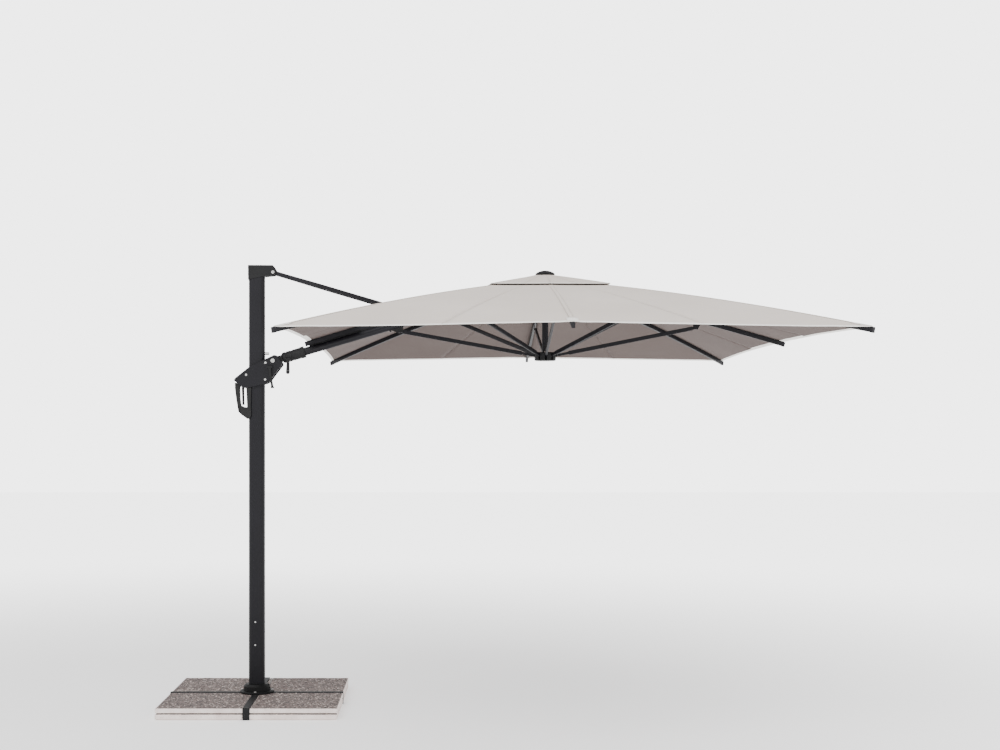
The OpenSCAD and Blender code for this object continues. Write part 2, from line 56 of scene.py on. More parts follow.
# The canopy's frame, which the cloth follows
HUB_X = JOINT["hub_turn"]["pos_m"][0]
CROWN_Z = JOINT["rib_e_fold"]["pos_m"][2]
PIVOT_R = JOINT["rib_e_fold"]["pos_m"][0] - HUB_X
BOOM_PIVOT = Vector(JOINT["side_tilt"]["pos_m"])
CANOPY = (3.0, 4.0)                      # between the corner tips, along X and Y
MID_REACH = 0.013                        # how far a side's middle stands out
DROOP = [math.radians(a) for a in (14.85, 9.8, 11.5, 9.8) * 2]    # of the ribs, in COMPASS order
CORNER_BOW = 0.028                       # how far a corner rib bows up at its middle
RIB_H = 0.028
BOOM_SLOPE = math.radians(16.5)
RAIL_RISE = 0.045                        # of the rail's top over the boom's centre line
RAIL_END = 1.430                         # from the boom's pivot
WELT_SPAN = (0.245, 1.415)

# The cloth
CLOTH = 0.0016                           # thickness
CLOTH_RISE = RIB_H / 2 + 0.0025 + CLOTH  # of its top over a rib's centre line
SAG = 0.010                              # of a gore's middle at the hem
WRINKLES_FROM = 0.62                     # share of the way out where the tips' tension folds start
WRINKLE = 0.0022
UNEVEN = 0.0035
PANEL_FROM = 0.17                        # shares of the way from the canopy's axis to a rib's tip
VENT_SPAN = (0.03, 0.24)
VENT_LIFT = (0.032, 0.013)               # of the vent over the ribs, at its top and at its hem
PANEL_GRID = (46, 18)                    # rows and columns of half a gore
VENT_GRID = (14, 8)
HEM_DIP = 0.035                          # how far the hem pulls in between two ribs
VENT_DIP = 0.012
HEM_BAND = 0.030
VENT_BAND = 0.018
HEM_ROWS = 4
HEM_EXTRA = 0.0006
STRUT_SLOT = ((0.640, -0.140), (1.020, 0.140))    # two corners of the opening, seen from above
STRUT_SLOT_Z = (2.0, 3.0)

# Seams, pockets and strap. A half is half a width, and a lift is off the cloth's surface.
TAPE_HALF = 0.012
TAPE_LIFT = 0.0012
STITCH_REACH = 0.0035                    # from a stitch's middle to its end
STITCH_HALF = 0.0007
STITCH_LIFT = 0.0013
STITCH_PITCH = 0.012
STITCH_OFFSET = 0.0095                   # from the rib's line
POCKET_LENGTH = 0.10
POCKET_HALF = 0.030
POCKET_LIFT = 0.0024
STRAP_Y = -0.035
STRAP_HALF = 0.0125
STRAP_SPAN = (0.60, 0.73)
STRAP_HUMP = 0.016

# Paving slabs
PEBBLES = 88.0                           # across one metre
PEBBLE_RISE = 0.0019
SLAB_INSET = 0.0035                      # of the top's outline from the slab's side
LAYERS = {"upper": (0.0045, 8.0), "lower": (0.0135, 0.9)}    # the top's grid, the undercut in insets
QUARTERS = {"near_left": (-1, -1), "near_right": (1, -1), "far_left": (-1, 1), "far_right": (1, 1)}

# Floor and sky
FLOOR_HALF = 30.0
GLOW_FROM, GLOW_TO = 1.5, 11.0           # the floor brightens between these, into the background
SKY_LIGHT, SKY_SEEN = 1.25, 4.2


# ---------------------------------------------------------------- camera
def make_camera():
    data = bpy.data.cameras.new("camera")
    camera = bpy.data.objects.new("camera", data)
    bpy.context.scene.collection.objects.link(camera)
    data.sensor_width = 36.0
    data.lens = 53.76
    data.shift_x, data.shift_y = 0.05935, 0.05068
    camera.location = (1.1640, -9.4672, 1.7609)
    camera.rotation_euler = (math.radians(90), 0, 0)
    bpy.context.scene.camera = camera


make_camera()


# ---------------------------------------------------------------- materials
class Nodes:
    """Short-hand for building one material's node tree."""

    def __init__(self, name):
        """A principled material whose nodes work in the object's own coordinates, in metres."""
        self.material = bpy.data.materials.new(name)
        self.material.use_nodes = True
        self.tree = self.material.node_tree
        self.shader = self.tree.nodes["Principled BSDF"]
        self.place = self.tree.nodes.new("ShaderNodeTexCoord").outputs["Object"]

    def add(self, kind, inputs=(), **settings):
        made = self.tree.nodes.new("ShaderNode" + kind)
        for key, value in settings.items():
            setattr(made, key, value)
        for key, value in dict(inputs).items():
            if isinstance(value, bpy.types.NodeSocket):
                self.tree.links.new(value, made.inputs[key])
            else:
                made.inputs[key].default_value = value
        return made

    def link(self, output, socket):
        self.tree.links.new(output, self.shader.inputs[socket])

    def noise(self, scale, detail=3.0, rough=0.55, where=None):
        return self.add("TexNoise", {"Vector": where or self.place, "Scale": scale, "Detail": detail,
                                     "Roughness": rough}).outputs["Fac"]

    def ramp(self, value, stops):
        made = self.add("ValToRGB", {"Fac": value})
        while len(made.color_ramp.elements) < len(stops):
            made.color_ramp.elements.new(0.5)
        for element, (at, colour) in zip(made.color_ramp.elements, stops):
            element.position = at
            element.color = (*colour, 1.0)
        return made.outputs["Color"]

    def between(self, value, low, high):
        """The value 0 to 1 stretched to low to high."""
        return self.add("MapRange", {"Value": value, "To Min": low, "To Max": high}).outputs["Result"]

    def bump(self, height, strength, distance, normal=None):
        inputs = {"Height": height, "Strength": strength, "Distance": distance}
        if normal:
            inputs["Normal"] = normal
        return self.add("Bump", inputs).outputs["Normal"]

    def mix(self, share, a, b, kind="MIX"):
        made = self.add("Mix", data_type="RGBA", blend_type=kind)
        for socket, value in ((made.inputs[0], share), (made.inputs[6], a), (made.inputs[7], b)):
            if isinstance(value, bpy.types.NodeSocket):
                self.tree.links.new(value, socket)
            else:
                socket.default_value = value
        return made.outputs[2]

    def maths(self, operation, a, b=0.0):
        made = self.add("Math", operation=operation)
        for socket, value in zip(made.inputs, (a, b)):
            if isinstance(value, bpy.types.NodeSocket):
                self.tree.links.new(value, socket)
            else:
                socket.default_value = value
        return made.outputs[0]


def powder_coat(name, dark, light, rough=(0.42, 0.56), grain=900.0):
    """Matt powder-coated metal with a fine orange-peel surface."""
    n = Nodes(name)
    broad = n.noise(3.0, 4.0)
    fine = n.noise(grain, 2.0)
    n.link(n.ramp(n.maths("ADD", n.maths("MULTIPLY", broad, 0.7), n.maths("MULTIPLY", fine, 0.3)),
                  [(0.3, dark), (0.7, light)]), "Base Color")
    n.link(n.between(fine, *rough), "Roughness")
    n.link(n.bump(fine, 0.12, 0.0004, n.bump(n.noise(grain / 4), 0.08, 0.0006)), "Normal")
    n.shader.inputs["Specular IOR Level"].default_value = 0.22
    return n.material


def moulded(name, dark, light):
    """Black glass-filled plastic with a fine spark-eroded texture."""
    n = Nodes(name)
    grain = n.add("TexVoronoi", {"Vector": n.place, "Scale": 1400.0}).outputs["Distance"]
    n.link(n.ramp(n.noise(6.0, 5.0), [(0.3, dark), (0.7, light)]), "Base Color")
    n.link(n.between(grain, 0.5, 0.66), "Roughness")
    n.link(n.bump(grain, 0.25, 0.0003), "Normal")
    n.shader.inputs["Specular IOR Level"].default_value = 0.25
    return n.material


def zinc(name):
    """Zinc-plated steel with turning marks and slight blooming."""
    n = Nodes(name)
    bloom = n.noise(90.0, 4.0)
    n.link(n.ramp(bloom, [(0.3, (0.36, 0.36, 0.35)), (0.7, (0.56, 0.56, 0.55))]), "Base Color")
    n.link(n.between(n.noise(500.0), 0.28, 0.46), "Roughness")
    n.link(n.bump(n.noise(1500.0), 0.1, 0.0002), "Normal")
    n.shader.inputs["Metallic"].default_value = 1.0
    return n.material


def slab_top():
    """Exposed aggregate: small grey, cream and pinkish pebbles in a pale cement."""
    n = Nodes("slab_aggregate")
    jitter = n.add("TexNoise", {"Vector": n.place, "Scale": 40.0, "Detail": 2.0}).outputs["Color"]
    spot = n.mix(0.012, n.place, jitter, "ADD")
    pebbles = n.add("TexVoronoi", {"Vector": spot, "Scale": PEBBLES, "Randomness": 1.0})
    tint = n.add("SeparateColor", {"Color": pebbles.outputs["Color"]}).outputs[0]
    stones = n.ramp(tint, [(0.0, (0.016, 0.013, 0.013)), (0.22, (0.075, 0.060, 0.057)),
                           (0.40, (0.22, 0.165, 0.155)), (0.56, (0.13, 0.088, 0.080)),
                           (0.70, (0.62, 0.54, 0.50)), (0.86, (0.045, 0.038, 0.038))])
    stones.node.color_ramp.interpolation = "CONSTANT"
    rim = n.ramp(pebbles.outputs["Distance"], [(0.46, (0.0, 0.0, 0.0)), (0.60, (1.0, 1.0, 1.0))])
    colour = n.mix(rim, stones, (0.19, 0.150, 0.140, 1.0))
    cloudy = n.ramp(n.noise(5.0, 5.0), [(0.3, (0.86, 0.85, 0.84)), (0.7, (1.0, 0.99, 0.97))])
    n.link(n.mix(1.0, colour, cloudy, "MULTIPLY"), "Base Color")
    n.link(n.between(tint, 0.62, 0.9), "Roughness")
    n.link(n.bump(pebbles.outputs["Distance"], 0.6, -0.002, n.bump(n.noise(700.0), 0.25, 0.0006)), "Normal")
    return n.material


def slab_side():
    """The slab's cast edge: smoother, cream, with air holes."""
    n = Nodes("slab_cast_edge")
    cloudy = n.noise(14.0, 6.0)
    holes = n.add("TexVoronoi", {"Vector": n.place, "Scale": 130.0}).outputs["Distance"]
    # The air holes are darkened in the colour: painted shade in the pits.
    pit_shade = n.ramp(holes, [(0.10, (0.45, 0.42, 0.38)), (0.20, (1.0, 1.0, 1.0))])
    cement = n.ramp(cloudy, [(0.3, (0.74, 0.64, 0.60)), (0.7, (0.93, 0.83, 0.79))])
    n.link(n.mix(1.0, cement, pit_shade, "MULTIPLY"), "Base Color")
    n.link(n.between(cloudy, 0.78, 0.95), "Roughness")
    n.link(n.bump(holes, 0.4, 0.0012, n.bump(n.noise(400.0), 0.3, 0.0006)), "Normal")
    return n.material


def woven(name, dark, light, thread=950.0, sheen=0.06):
    """Plain-weave polyester: two crossing sets of threads, slubs, and slow colour drift."""
    n = Nodes(name)
    bands = [n.add("TexWave", {"Vector": n.place, "Scale": thread / 10, "Distortion": 0.4, "Detail": 1.0},
                   bands_direction=way).outputs["Fac"] for way in ("X", "Y")]
    weave = n.maths("MULTIPLY", bands[0], bands[1])
    slub = n.add("Mapping", {"Vector": n.place, "Scale": (1.0, 14.0, 1.0)}).outputs["Vector"]
    slubs = n.noise(60.0, 4.0, 0.6, slub)
    drift = n.noise(1.7, 4.0)
    mixed = n.maths("ADD", n.maths("MULTIPLY", drift, 0.45),
                    n.maths("ADD", n.maths("MULTIPLY", slubs, 0.35), n.maths("MULTIPLY", weave, 0.2)))
    n.link(n.ramp(mixed, [(0.25, dark), (0.65, light)]), "Base Color")
    n.link(n.between(slubs, 0.78, 0.92), "Roughness")
    soft = n.bump(n.noise(9.0, 3.0), 0.12, 0.004)
    n.link(n.bump(weave, 0.35, 0.0005, soft), "Normal")
    n.shader.inputs["Sheen Weight"].default_value = sheen
    n.shader.inputs["Sheen Roughness"].default_value = 0.5
    n.shader.inputs["Specular IOR Level"].default_value = 0.15
    return n.material


def webbing(name, dark, light):
    """Twisted thread: fine diagonal ribs."""
    n = Nodes(name)
    ribs = n.add("TexWave", {"Vector": n.place, "Scale": 180.0, "Distortion": 0.2},
                 bands_direction="DIAGONAL").outputs["Fac"]
    n.link(n.ramp(n.maths("ADD", n.maths("MULTIPLY", ribs, 0.6), n.maths("MULTIPLY", n.noise(40.0), 0.4)),
                  [(0.2, dark), (0.8, light)]), "Base Color")
    n.link(n.between(ribs, 0.7, 0.9), "Roughness")
    n.link(n.bump(ribs, 0.5, 0.0006), "Normal")
    return n.material


MAT = {
    "frame": powder_coat("anthracite_powder_coat", (0.0026, 0.0024, 0.0038), (0.0056, 0.0052, 0.0082)),
    "base": powder_coat("black_powder_coat", (0.0022, 0.0022, 0.0025), (0.0050, 0.0050, 0.0055),
                        rough=(0.45, 0.6)),
    "plastic": moulded("black_plastic", (0.0025, 0.0025, 0.0029), (0.0060, 0.0060, 0.0068)),
    "grip": moulded("grip_rubber", (0.006, 0.006, 0.006), (0.012, 0.012, 0.012)),
    "zinc": zinc("zinc_plated_steel"),
    "slab": slab_top(),
    "slab_edge": slab_side(),
    "cloth": woven("canopy_cloth_outside", (0.60, 0.535, 0.480), (0.72, 0.655, 0.600)),
    # The underside is the same cloth as the outside in a darker colour: painted shade.
    "lining": woven("canopy_cloth_underside_painted_shade", (0.082, 0.062, 0.0565), (0.116, 0.091, 0.083),
                    sheen=0.0),
    "hem": woven("hem_tape", (0.78, 0.75, 0.71), (0.90, 0.875, 0.84), 1200.0),
    "thread": webbing("seam_thread", (0.50, 0.46, 0.42), (0.66, 0.62, 0.58)),
}

# Every other node is painted like the frame.
NODE_LOOK = {
    "base": ("cross_base", "turntable", "mast_foot"),
    "plastic": ("cross_end_caps", "slider_sleeve", "clamp_lever", "tilt_lock_lever", "mast_head",
                "crown_hub", "lower_hub", "boom_knuckle", "strut_ring", "release_trigger",
                "boom_bracket"),
    "grip": ("slider_grip",),
    "zinc": ("turntable_bolts", "head_bolt", "mast_fittings", "foot_lock_loop", "slider_glides",
             "slider_bolts"),
}
BEVEL = {"slider_plate_near": 0.0030, "slider_plate_far": 0.0030, "slider_grip": 0.0060,
         "mast_head": 0.0030, "clamp_lever": 0.0020, "tilt_lock_lever": 0.0020,
         "release_trigger": 0.0030, "slider_sleeve": 0.0025, "cross_base": 0.0020, "strut": 0.0012,
         "boom_knuckle": 0.0015}


def dress_nodes():
    """Material for each node of the frame, and a rounded edge where a hand or the light meets one."""
    for name, node in frame["nodes"].items():
        look = next((k for k, names in NODE_LOOK.items() if name in names), "frame")
        node.data.materials.clear()
        node.data.materials.append(MAT[look])
        if name in BEVEL:
            bevel = node.modifiers.new("soft_edges", "BEVEL")
            bevel.width = BEVEL[name]
            bevel.segments = 3
            bevel.angle_limit = math.radians(35)
            bevel.limit_method = "ANGLE"


dress_nodes()


# ---------------------------------------------------------------- shared mesh helpers
def new_piece(name, points, faces, look, body):
    """A mesh that rides on a body. A face may end with the look it has instead of the piece's own."""
    mesh = bpy.data.meshes.new(name)
    corners = [f[:-1] if isinstance(f[-1], str) else f for f in faces]
    mesh.from_pydata([tuple(p) for p in points], [], corners)
    looks = sorted({f[-1] for f in faces if isinstance(f[-1], str)}) or [look]
    for key in looks:
        mesh.materials.append(MAT[key])
    for polygon, face in zip(mesh.polygons, faces):
        polygon.use_smooth = True
        if isinstance(face[-1], str):
            polygon.material_index = looks.index(face[-1])
    mesh.validate()
    mesh.update()
    piece = bpy.data.objects.new(name, mesh)
    bpy.context.scene.collection.objects.link(piece)
    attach(piece, body)
    return piece


def shell(rows, thickness, looks, hem_rows=0):
    """Closed sheet from a grid of (point, normal); its last hem_rows are a thicker band."""
    count, width = len(rows), len(rows[0])
    top, low = [], []
    for k, row in enumerate(rows):
        for point, normal in row:
            extra = HEM_EXTRA if hem_rows and k >= count - hem_rows else 0.0
            top.append(point + normal * extra)
            low.append(point - normal * (thickness + extra))
    m = len(top)
    faces = []
    for k in range(count - 1):
        band = hem_rows and k >= count - hem_rows - 1
        for c in range(width - 1):
            a = k * width + c
            quad = (a, a + width, a + width + 1, a + 1)
            faces.append((*quad, "hem" if band else looks[0]))
            faces.append((*[q + m for q in reversed(quad)], "hem" if band else looks[1]))
    edge = ([c for c in range(width)] + [k * width + width - 1 for k in range(1, count)]
            + [(count - 1) * width + c for c in range(width - 2, -1, -1)]
            + [k * width for k in range(count - 2, 0, -1)])
    for a, b in zip(edge, edge[1:] + edge[:1]):
        outer = hem_rows and min(a, b) >= (count - hem_rows) * width
        faces.append((a, b, b + m, a + m, "hem" if outer else looks[0]))
    return top + low, faces


# ---------------------------------------------------------------- the canopy's surface
def rib_tips():
    """The ribs' tips from the east one round, level with the canopy's axis."""
    x, y = CANOPY[0] / 2, CANOPY[1] / 2
    quarter = [(x + MID_REACH, 0.0), (x, y), (0.0, y + MID_REACH), (-x, y)]
    return [Vector((a * turn, b * turn, 0.0)) for turn in (1, -1) for a, b in quarter]


TIPS = rib_tips()
RIB_LEN = [(t.length - PIVOT_R) / math.cos(d) for t, d in zip(TIPS, DROOP)]
BOW_RATE = 4 * CORNER_BOW / RIB_LEN[1] ** 2
RAIL_END_R = HUB_X - BOOM_PIVOT.x - RAIL_END * math.cos(BOOM_SLOPE)


def rib_ridge(i, r):
    """Height of the cloth over a bowed rib."""
    along = (r - PIVOT_R) / math.cos(DROOP[i])
    return (CROWN_Z - (r - PIVOT_R) * math.tan(DROOP[i]) + BOW_RATE * along * (RIB_LEN[i] - along)
            + CLOTH_RISE / math.cos(DROOP[i]))


def boom_ridge(r):
    """Height of the cloth over the boom's rail."""
    return (BOOM_PIVOT.z + (HUB_X - BOOM_PIVOT.x - r) * math.tan(BOOM_SLOPE)
            + (RAIL_RISE + CLOTH_RISE) / math.cos(BOOM_SLOPE))


def ridge(i, r):
    """Height of the cloth over rib i, at a distance r from the canopy's axis."""
    if i != WEST:
        return rib_ridge(i, r)
    if r > RAIL_END_R:
        return boom_ridge(r)
    top = rib_ridge(0, 0.0)
    return top + (boom_ridge(RAIL_END_R) - top) * r / RAIL_END_R


def on_ridge(i, f):
    """The point a share f of the way out along rib i."""
    p = TIPS[i] * f
    return Vector((HUB_X + p.x, p.y, ridge(i, p.length)))


def arch(w):
    """0 at both ribs and 1 halfway between them."""
    return 4 * w * (1 - w)


def wrinkle(p, f, w):
    """Small tension folds that run from the rib tips along the hem, and a slow unevenness."""
    near_tip = max(0.0, f - WRINKLES_FROM) / (1 - WRINKLES_FROM)
    fan = (math.sin(w * 46.0 + 3.0 * f) * math.exp(-10.0 * w)
           + math.sin((1 - w) * 46.0 + 2.0 * f) * math.exp(-10.0 * (1 - w)))
    slow = noise.noise(Vector((p.x * 1.3, p.y * 1.3, 4.0)))
    return WRINKLE * near_tip * near_tip * fan * min(1.0, 30 * w * (1 - w)) + UNEVEN * slow * arch(w) * f


def gore(i, f, w, dip, lift):
    """A point of the cloth between rib i (w = 0) and the next (w = 1), a share f of the way out."""
    j = (i + 1) % 8
    middle = (TIPS[i] + TIPS[j]).length / 2
    k = f * (1 - dip * arch(w) / middle)
    p = on_ridge(i, k).lerp(on_ridge(j, k), w)
    p.z -= SAG * arch(w) * f ** 1.5
    p.z += lift + wrinkle(p, f, w)
    return p


def gore_point(i, f, w, dip, lift):
    """The point and its normal, pointing up."""
    h = 0.002
    p = gore(i, f, w, dip, lift)
    w0, w1 = max(0.0, w - h), min(1.0, w + h)
    across = gore(i, f, w1, dip, lift) - gore(i, f, w0, dip, lift)
    along = gore(i, f + h, w, dip, lift) - gore(i, f - h, w, dip, lift)
    normal = along.cross(across).normalized()
    return p, normal if normal.z > 0 else -normal


def split(i, j):
    """Where the half gores meet, halfway between the two ribs' directions."""
    return TIPS[i].length / (TIPS[i].length + TIPS[j].length)


def half_rows(i, side, f0, f1, grid_size, dip, lifts, band):
    """Grid of one half gore beside rib i, side +1 towards the next rib and -1 towards the last.
    The share band of the way at its end is the hem, with a close row at each edge."""
    rows, cols = grid_size
    start = i if side > 0 else (i + 7) % 8
    shares = [f0 + (f1 - f0) * k / rows for k in range(rows + 1)]
    shares = [s for s in shares if s < f1 - 1.5 * band]
    shares += [f1 - band, f1 - band + 0.0012, f1 - band / 2, f1 - 0.001, f1]
    grid = []
    for f in shares:
        lift = lifts[0] + (lifts[1] - lifts[0]) * (f - f0) / (f1 - f0)
        ws = [split(i, (i + side) % 8) * c / cols for c in range(cols + 1)]
        if side < 0:
            ws = [1 - w for w in ws]
        row = [gore_point(start, f, w, dip, lift) for w in ws]
        grid.append(row if side > 0 else row[::-1])
    return grid


def fold_with(piece):
    """Gives the half gore its own copy of its mesh."""
    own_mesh(piece)


def body_for(i):
    """The body that carries the cloth over rib i."""
    return "boom" if i == WEST else "rib_" + COMPASS[i]


def cut_slot(piece):
    """Opening round the strut, which also leaves it room when the canopy tilts sideways."""
    (x0, y0), (x1, y1) = STRUT_SLOT
    mesh = bpy.data.meshes.new("slot_cutter")
    outline = ((x0, y0), (x1, y0), (x1, y1), (x0, y1))
    sides = [(k, (k + 1) % 4, (k + 1) % 4 + 4, k + 4) for k in range(4)]
    mesh.from_pydata([(x, y, z) for z in STRUT_SLOT_Z for x, y in outline], [],
                     [(3, 2, 1, 0), (4, 5, 6, 7), *sides])
    cutter = bpy.data.objects.new("slot_cutter", mesh)
    bpy.context.scene.collection.objects.link(cutter)
    cut = piece.modifiers.new("cut", "BOOLEAN")
    cut.object = cutter
    cut.operation = "DIFFERENCE"
    cut.solver = "EXACT"
    done = bpy.data.meshes.new_from_object(piece.evaluated_get(bpy.context.evaluated_depsgraph_get()))
    piece.modifiers.clear()
    piece.data = done
    bpy.data.objects.remove(cutter)
    bpy.data.meshes.remove(mesh)


def make_sheet(kind, i, side, span, grid_size, dip, lifts, band, opening=False):
    """One half gore of the canopy or of its vent."""
    name = f"{kind}_{COMPASS[i]}_{'left' if side > 0 else 'right'}"
    rows = half_rows(i, side, *span, grid_size, dip, lifts, band / TIPS[i].length)
    # The cloth's lower faces take the darker copy of the cloth: painted shade on its underside.
    points, faces = shell(rows, CLOTH, ("cloth", "lining"), HEM_ROWS)
    piece = new_piece(name, points, faces, "cloth", body_for(i))
    if opening:
        cut_slot(piece)
    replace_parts(piece, "panel_" + COMPASS[i])
    fold_with(piece)


def make_canopy():
    for i in range(len(COMPASS)):
        for side in (1, -1):
            make_sheet("canopy", i, side, (PANEL_FROM, 1.0), PANEL_GRID, HEM_DIP, (0.0, 0.0), HEM_BAND,
                       opening=i == WEST)
            make_sheet("vent", i, side, VENT_SPAN, VENT_GRID, VENT_DIP, VENT_LIFT, VENT_BAND)


make_canopy()


# ---------------------------------------------------------------- seams along the ribs
def ridge_strip(i, f0, f1, half, lift, count, thickness):
    """Narrow strip of cloth over rib i, draped to both sides."""
    grid = []
    for k in range(count + 1):
        f = f0 + (f1 - f0) * k / count
        row = []
        for s in (-1, -0.55, 0, 0.55, 1):
            start = i if s >= 0 else (i + 7) % 8
            gap = (TIPS[i] - TIPS[(i + (1 if s >= 0 else 7)) % 8]).length * f
            w = abs(s) * half / gap
            p, normal = gore_point(start, f, w if s >= 0 else 1 - w, HEM_DIP, 0.0)
            row.append((p + normal * lift, normal))
        grid.append(row[::-1])
    return shell(grid, thickness, ("cloth", "cloth"))


def make_seams():
    for i, name in enumerate(COMPASS):
        points, faces = ridge_strip(i, PANEL_FROM + 0.01, 0.995, TAPE_HALF, TAPE_LIFT, 40, 0.0008)
        tape = new_piece("seam_tape_" + name, points, faces, "cloth", body_for(i))
        if i == WEST:
            cut_slot(tape)
        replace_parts(tape, "panel_" + name)
        for side in (-1, 1):
            stitches(i, side, name)


def stitches(i, side, name):
    """A row of lockstitches along the seam tape."""
    points, faces = [], []
    start = i if side > 0 else (i + 7) % 8
    length = TIPS[i].length * (0.99 - PANEL_FROM)
    count = int(length / STITCH_PITCH)
    for k in range(count):
        f = PANEL_FROM + 0.015 + (0.975 - PANEL_FROM) * k / count
        gap = (TIPS[i] - TIPS[(i + side) % 8]).length * f
        w = STITCH_OFFSET / gap
        p, normal = gore_point(start, f, w if side > 0 else 1 - w, HEM_DIP, 0.0)
        if i == WEST and STRUT_SLOT[0][0] - 0.01 < p.x < STRUT_SLOT[1][0] + 0.01:
            continue
        along = (gore(start, f + 0.001, w if side > 0 else 1 - w, HEM_DIP, 0.0) - p).normalized()
        across = normal.cross(along)
        base = len(points)
        for u, v, h in ((-1, -1, 0), (1, -1, 0), (1, 1, 0), (-1, 1, 0), (-0.7, 0, 1), (0.7, 0, 1)):
            points.append(p + along * (u * STITCH_REACH) + across * (v * STITCH_HALF)
                          + normal * (STITCH_LIFT + h * 0.0008))
        faces += [tuple(base + n for n in face) for face in
                  ((0, 1, 5, 4), (2, 3, 4, 5), (1, 2, 5), (3, 0, 4), (3, 2, 1, 0))]
    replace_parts(new_piece(f"stitching_{name}_{'left' if side > 0 else 'right'}", points, faces, "thread",
                          body_for(i)), "panel_" + name)


make_seams()


def make_pockets():
    """Doubled cloth at each corner of the canopy, which takes the rib's tip."""
    for i, name in enumerate(COMPASS):
        start = 1 - POCKET_LENGTH / TIPS[i].length
        points, faces = ridge_strip(i, start, 0.998, POCKET_HALF, POCKET_LIFT, 6, 0.0010)
        faces = [(*f[:-1], "hem") for f in faces]
        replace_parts(new_piece("tip_pocket_" + name, points, faces, "hem", body_for(i)),
                    "panel_" + name)


def make_strap():
    """Tie strap sewn on the east rib's panel at both ends, slack between them."""
    grid, steps, last = [], 24, (EAST - 1) % 8
    for k in range(steps + 1):
        s = k / steps
        f = STRAP_SPAN[0] + (STRAP_SPAN[1] - STRAP_SPAN[0]) * s
        row = []
        for side in (-1, 0, 1):
            y = STRAP_Y + side * STRAP_HALF
            gap = (TIPS[EAST] - TIPS[last]).length * f
            p, normal = gore_point(last, f, 1 - abs(y) / gap, HEM_DIP, 0.0)
            hump = 0.0020 + STRAP_HUMP * math.sin(math.pi * s) ** 2
            row.append((p + normal * hump, normal))
        grid.append(row)
    points, faces = shell(grid, 0.0014, ("cloth", "cloth"))
    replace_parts(new_piece("tie_strap", points, faces, "cloth", "rib_e"), "panel_e")


def turned(name, at, axis, profile, body, look, count):
    """Lathe a profile of (radius, height) pairs about axis."""
    axis = Vector(axis).normalized()
    side = axis.orthogonal().normalized()
    other = axis.cross(side)
    points, faces = [], []
    for r, h in profile:
        for k in range(count):
            a = math.tau * k / count
            points.append(Vector(at) + axis * h + (side * math.cos(a) + other * math.sin(a)) * r)
    for ring in range(len(profile) - 1):
        for k in range(count):
            a, b = ring * count + k, ring * count + (k + 1) % count
            faces.append((a, b, b + count, a + count, look))
    faces.append((*reversed(range(count)), look))
    faces.append((*range((len(profile) - 1) * count, len(profile) * count), look))
    return new_piece(name, points, faces, look, body)


def make_crown():
    """The domed cap that clamps the vent to the hub."""
    dome = [(0.024, 0.014), (0.024, 0.050), (0.057, 0.0515), (0.0615, 0.0545), (0.062, 0.058),
            (0.059, 0.0625), (0.050, 0.0690), (0.038, 0.0745), (0.022, 0.0790), (0.008, 0.0808)]
    cap = turned("crown_dome", (HUB_X, 0, CROWN_Z), (0, 0, 1), dome, "hub", "plastic", 72)
    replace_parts(cap, "crown_cap")


def boom_at(u, v):
    """A point u along the boom and v above its centre line."""
    return BOOM_PIVOT + Vector((u * math.cos(BOOM_SLOPE) - v * math.sin(BOOM_SLOPE), 0.0,
                                u * math.sin(BOOM_SLOPE) + v * math.cos(BOOM_SLOPE)))


def make_welt():
    """Rubber welt that fills the line between the boom's rail and its tube."""
    half = [(0.0045, 0.0230), (0.0070, 0.0250), (0.0072, 0.0280), (0.0060, 0.0305), (0.0040, 0.0322)]
    outline = half + [(-y, v) for y, v in reversed(half)]
    points, faces, n, steps = [], [], len(outline), 60
    for k in range(steps + 1):
        u = WELT_SPAN[0] + (WELT_SPAN[1] - WELT_SPAN[0]) * k / steps
        swell = 1 + 0.05 * math.sin(k * 2.1)
        points += [boom_at(u, v) + Vector((0, y * swell, 0)) for y, v in outline]
    for k in range(steps):
        faces += [(k * n + c, k * n + (c + 1) % n, (k + 1) * n + (c + 1) % n, (k + 1) * n + c, "grip")
                  for c in range(n)]
    faces += [(*reversed(range(n)), "grip"), (*range(steps * n, steps * n + n), "grip")]
    new_piece("boom_welt", points, faces, "grip", "boom")


make_pockets()
make_strap()
make_crown()
make_welt()


# ---------------------------------------------------------------- paving slabs
def pebble_height(x, y):
    """Rounded aggregate standing proud of the cement."""
    nearest = noise.voronoi(Vector((x, y, 0.3)) * PEBBLES)[0][0]
    return (PEBBLE_RISE * max(0.0, 1 - (nearest / 0.62) ** 2)
            + 0.0006 * noise.noise(Vector((x, y, 1.0)) * 11))


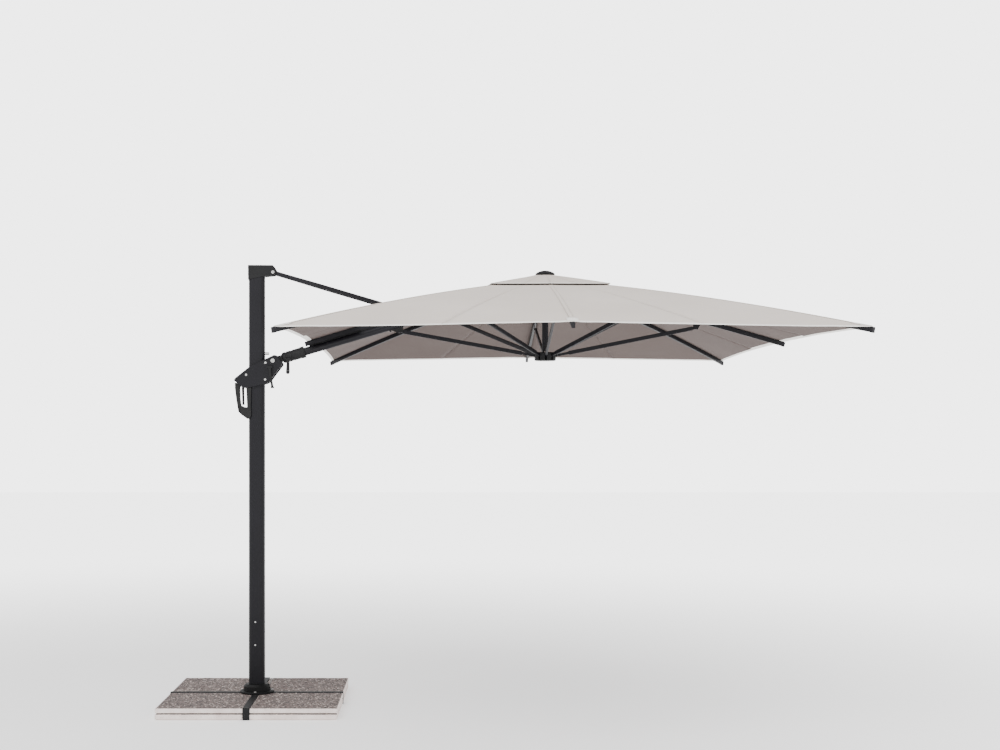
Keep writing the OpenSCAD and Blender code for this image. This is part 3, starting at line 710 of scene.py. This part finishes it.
def slab_mesh(low, high, step, undercut):
    """A cast slab: pebbled top, worn arrises, a slightly uneven edge and an undercut foot."""
    nx = round((high.x - low.x) / step)
    ny = round((high.y - low.y) / step)
    inset = SLAB_INSET
    points, faces = [], []
    for b in range(ny + 1):
        for a in range(nx + 1):
            x = low.x + inset + (high.x - low.x - 2 * inset) * a / nx
            y = low.y + inset + (high.y - low.y - 2 * inset) * b / ny
            on_rim = min(a, nx - a, b, ny - b) == 0
            height = high.z - 0.0014 - (0.0009 if on_rim else 0.0)
            points.append(Vector((x, y, height + pebble_height(x, y) * (0.4 if on_rim else 1))))

    def at(a, b):
        return b * (nx + 1) + a

    for b in range(ny):
        for a in range(nx):
            faces.append((at(a, b), at(a + 1, b), at(a + 1, b + 1), at(a, b + 1), "slab"))
    ring = ([at(a, 0) for a in range(nx)] + [at(nx, b) for b in range(ny)]
            + [at(a, ny) for a in range(nx, 0, -1)] + [at(0, b) for b in range(ny, 0, -1)])
    middle = (low + high) / 2
    half = (high - low) / 2
    levels = [(high.z - 0.0026, 0.35), (high.z - 0.0048, 0.9), (high.z - 0.010, 1.0),
              (low.z + 0.020, 1.0), (low.z + 0.009, 1.0), (low.z + 0.007, 0.8),
              (low.z + 0.0055, -undercut), (low.z, -undercut)]
    last = ring
    for z, out in levels:
        row = []
        for index in ring:
            p = points[index]
            away = (p.x - middle.x, p.y - middle.y)
            push = Vector([math.copysign(inset, d) if abs(d) > h - inset * 1.01 else 0
                           for d, h in zip(away, half)] + [0])
            rough = 0.0009 * noise.noise(Vector((p.x * 60, p.y * 60, z * 60)))
            row.append(len(points))
            points.append(Vector((p.x, p.y, z)) + push * (out - abs(rough) / inset))
        for k in range(len(ring)):
            n = (k + 1) % len(ring)
            faces.append((last[n], last[k], row[k], row[n], "slab_edge"))
        last = row
    faces.append((*reversed(last), "slab_edge"))
    return points, faces


def make_slabs():
    """Four slabs in each layer, each in the place of its own solid."""
    for layer, (step, undercut) in LAYERS.items():
        node = "slabs_" + layer
        corners = [v.co for v in frame["nodes"][node].data.vertices]
        for word, (sx, sy) in QUARTERS.items():
            mine = [c for c in corners if c.x * sx > 0 and c.y * sy > 0]
            low = Vector([min(c[k] for c in mine) for k in range(3)])
            high = Vector([max(c[k] for c in mine) for k in range(3)])
            points, faces = slab_mesh(low, high, step, undercut)
            slab = new_piece(f"slab_{layer}_{word}", points, faces, "slab", "base")
            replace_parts(slab, node)


make_slabs()


# ---------------------------------------------------------------- floor and light
def make_floor():
    mesh = bpy.data.meshes.new("floor")
    corners = [(x * FLOOR_HALF, y * FLOOR_HALF, 0) for x, y in ((-1, -1), (1, -1), (1, 1), (-1, 1))]
    mesh.from_pydata(corners, [], [(0, 1, 2, 3)])
    floor = bpy.data.objects.new("floor", mesh)
    bpy.context.scene.collection.objects.link(floor)
    n = Nodes("studio_floor")
    tone = n.ramp(n.noise(0.8), [(0.3, (0.90, 0.90, 0.90)), (0.7, (0.93, 0.93, 0.93))])
    n.link(tone, "Base Color")
    n.shader.inputs["Roughness"].default_value = 0.9
    n.shader.inputs["Emission Color"].default_value = (1.0, 1.0, 1.0, 1.0)
    away = n.add("VectorMath", {0: n.place}, operation="LENGTH").outputs["Value"]
    glow = n.add("MapRange", {"Value": away, "From Min": GLOW_FROM, "From Max": GLOW_TO,
                              "To Min": 0.5, "To Max": 2.6}, interpolation_type="SMOOTHSTEP")
    n.link(glow.outputs["Result"], "Emission Strength")
    mesh.materials.append(n.material)


def make_sky():
    """White all round, brighter to the camera than it lights the object."""
    world = bpy.data.worlds.new("studio")
    bpy.context.scene.world = world
    world.use_nodes = True
    sky = world.node_tree.nodes["Background"]
    sky.inputs["Color"].default_value = (1.0, 1.0, 1.0, 1.0)
    seen = world.node_tree.nodes.new("ShaderNodeLightPath").outputs["Is Camera Ray"]
    level = world.node_tree.nodes.new("ShaderNodeMapRange")
    world.node_tree.links.new(seen, level.inputs["Value"])
    level.inputs["To Min"].default_value = SKY_LIGHT
    level.inputs["To Max"].default_value = SKY_SEEN
    world.node_tree.links.new(level.outputs["Result"], sky.inputs["Strength"])


def area_light(name, place, target, size, watts):
    data = bpy.data.lights.new(name, "AREA")
    data.shape = "RECTANGLE"
    data.size, data.size_y = size
    data.energy = watts
    light = bpy.data.objects.new(name, data)
    bpy.context.scene.collection.objects.link(light)
    light.location = place
    aim = Vector(target) - Vector(place)
    light.rotation_euler = aim.to_track_quat("-Z", "Y").to_euler()


make_floor()
make_sky()
area_light("key", (-2.5, -6.5, 7.5), (1.2, 0.0, 1.8), (5.0, 4.0), 420.0)
area_light("fill", (6.5, -5.0, 5.0), (1.5, 0.0, 1.5), (4.0, 4.0), 180.0)
